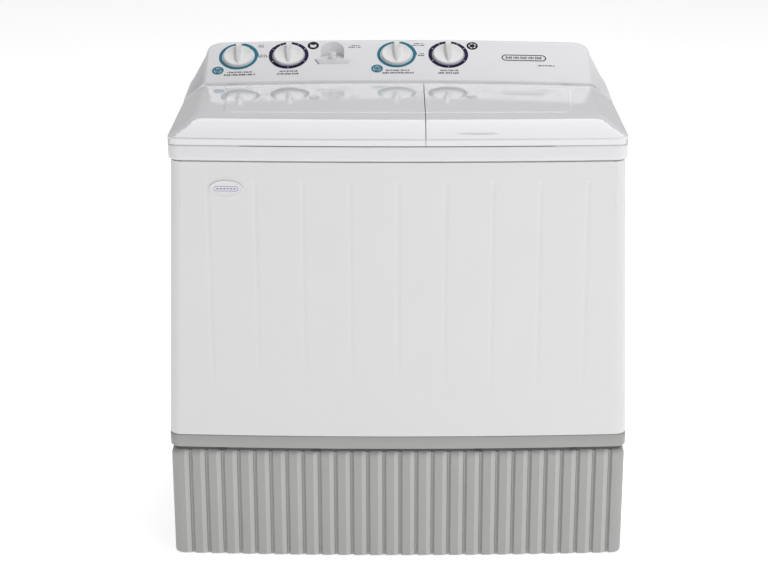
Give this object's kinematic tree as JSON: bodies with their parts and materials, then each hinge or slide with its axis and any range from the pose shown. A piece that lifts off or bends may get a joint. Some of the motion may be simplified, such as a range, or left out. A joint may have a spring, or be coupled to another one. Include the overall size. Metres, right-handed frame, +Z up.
{
  "type": "twin tub washer",
  "caption": "Free-standing twin tub washer: wash tub with pulsator and spin basket side by side, hinged lids, rear console with turning knobs, fluted base.",
  "frame": {"origin": "on the floor, under the centre of the machine's box", "axes": "+Z up, -Y towards the front where the user stands, +X to the right as seen from the front"},
  "size_m": [0.897, 0.52, 0.953],
  "materials": {
    "white_gloss": "gloss",
    "white_panel": "satin gloss",
    "grey_plastic": "satin",
    "tub_plastic": "satin",
    "blue_plastic": "satin",
    "knob_white": "gloss",
    "dark_plastic": "matt",
    "steel": "brushed",
    "motor_alloy": "cast",
    "rubber": "matt"
  },
  "bodies": {
    "cabinet": {"base_skirt": "grey_plastic", "base_band": "grey_plastic", "drain_outlet": "dark_plastic", "cabinet": "white_panel", "rear_cover": "white_panel", "cord_gland": "dark_plastic", "top_deck": "white_gloss", "console_housing": "white_gloss", "console_rear_panel": "white_panel", "water_inlet": "white_gloss", "wash_lid_bracket_1": "dark_plastic", "wash_lid_bracket_2": "dark_plastic", "spin_lid_bracket_1": "dark_plastic", "spin_lid_bracket_2": "dark_plastic", "wash_tub": "tub_plastic", "filter_channel": "tub_plastic", "gearbox": "motor_alloy", "wash_motor": "motor_alloy", "wash_motor_bracket": "steel", "wash_drive_belt": "rubber", "drain_valve_body": "dark_plastic", "spin_tub": "tub_plastic", "spin_bellows": "rubber", "spin_motor": "motor_alloy", "brake_pivot": "steel", "suspension_spring_1": "steel", "suspension_spring_2": "steel", "suspension_spring_3": "steel", "cover_pivot_1": "dark_plastic", "cover_pivot_2": "dark_plastic", "wash_selector_switch": "dark_plastic", "wash_timer": "dark_plastic", "cycle_selector_linkage": "dark_plastic", "spin_timer": "dark_plastic", "badge": "white_gloss", "motor_capacitor": "motor_alloy", "foot_1": "rubber", "foot_2": "rubber", "foot_3": "rubber", "foot_4": "rubber"},
    "wash_lid": {"wash_lid": "white_gloss", "wash_lid_hinge_rod": "steel"},
    "spin_lid": {"spin_lid": "white_gloss", "spin_lid_hinge_rod": "steel"},
    "spin_safety_cover": {"spin_safety_cover": "tub_plastic"},
    "wash_selector_knob": {"wash_selector_knob": "knob_white"},
    "wash_timer_knob": {"wash_timer_knob": "knob_white"},
    "cycle_selector_knob": {"cycle_selector_knob": "knob_white"},
    "spin_timer_knob": {"spin_timer_knob": "knob_white"},
    "pulsator": {"pulsator": "blue_plastic", "pulsator_shaft": "steel"},
    "gearbox_pulley": {"gearbox_pulley": "dark_plastic"},
    "wash_motor_pulley": {"wash_motor_pulley": "motor_alloy"},
    "spin_rotor": {"spin_basket": "steel", "spin_shaft": "steel", "brake_drum": "motor_alloy"},
    "brake_lever": {"brake_lever": "steel"},
    "drain_plunger": {"drain_plunger": "rubber"},
    "lint_filter": {"lint_filter": "blue_plastic"}
  },
  "joints": [
    {"name": "wash_lid_hinge", "type": "hinge", "parent": "cabinet", "child": "wash_lid", "pos_m": [0, 0.1025, 0.8705], "axis": [-1, 0, 0], "range_deg": [0, 95]},
    {"name": "spin_lid_hinge", "type": "hinge", "parent": "cabinet", "child": "spin_lid", "pos_m": [0, 0.1025, 0.8705], "axis": [-1, 0, 0], "range_deg": [0, 95]},
    {"name": "safety_cover_hinge", "type": "hinge", "parent": "cabinet", "child": "spin_safety_cover", "pos_m": [0.238, 0.077, 0.8495], "axis": [-1, 0, 0], "range_deg": [0, 95]},
    {"name": "wash_selector_turn", "type": "hinge", "parent": "cabinet", "child": "wash_selector_knob", "pos_m": [-0.33, 0.19017, 0.92126], "axis": [0, 0.4924, -0.8704], "range_deg": [0, 90]},
    {"name": "wash_timer_turn", "type": "hinge", "parent": "cabinet", "child": "wash_timer_knob", "pos_m": [-0.226, 0.19017, 0.92357], "axis": [0, 0.4924, -0.8704], "range_deg": [0, 315]},
    {"name": "cycle_selector_turn", "type": "hinge", "parent": "cabinet", "child": "cycle_selector_knob", "pos_m": [-0.003, 0.19017, 0.92562], "axis": [0, 0.4924, -0.8704], "range_deg": [0, 90]},
    {"name": "spin_timer_turn", "type": "hinge", "parent": "cabinet", "child": "spin_timer_knob", "pos_m": [0.104, 0.19017, 0.92518], "axis": [0, 0.4924, -0.8704], "range_deg": [0, 300]},
    {"name": "pulsator_spin", "type": "hinge", "parent": "cabinet", "child": "pulsator", "pos_m": [-0.186, -0.029, 0.34], "axis": [0, 0, 1], "continuous": true},
    {"name": "gearbox_pulley_spin", "type": "hinge", "parent": "cabinet", "child": "gearbox_pulley", "pos_m": [-0.186, -0.029, 0.235], "axis": [0, 0, 1], "continuous": true},
    {"name": "wash_motor_spin", "type": "hinge", "parent": "cabinet", "child": "wash_motor_pulley", "pos_m": [-0.33, -0.029, 0.235], "axis": [0, 0, 1], "continuous": true},
    {"name": "spin_basket_spin", "type": "hinge", "parent": "cabinet", "child": "spin_rotor", "pos_m": [0.238, -0.07, 0.375], "axis": [0, 0, 1], "continuous": true},
    {"name": "brake_lever_pivot", "type": "hinge", "parent": "cabinet", "child": "brake_lever", "pos_m": [0.304, -0.115, 0.286], "axis": [0, 0, 1], "range_deg": [0, 2]},
    {"name": "drain_plunger_lift", "type": "slide", "parent": "cabinet", "child": "drain_plunger", "axis": [0, 0, 1], "range_m": [0, 0.012]},
    {"name": "lint_filter_lift", "type": "slide", "parent": "cabinet", "child": "lint_filter", "axis": [0, 0, 1], "range_m": [0, 0.08]}
  ],
  "couplings": [
    {"joint": "safety_cover_hinge", "follows": "spin_lid_hinge", "ratio": 1},
    {"joint": "brake_lever_pivot", "follows": "spin_lid_hinge", "ratio": 0.02},
    {"joint": "gearbox_pulley_spin", "follows": "pulsator_spin", "ratio": 4},
    {"joint": "wash_motor_spin", "follows": "pulsator_spin", "ratio": 12.966},
    {"joint": "drain_plunger_lift", "follows": "cycle_selector_turn", "m_per_rad": 0.007576}
  ]
}
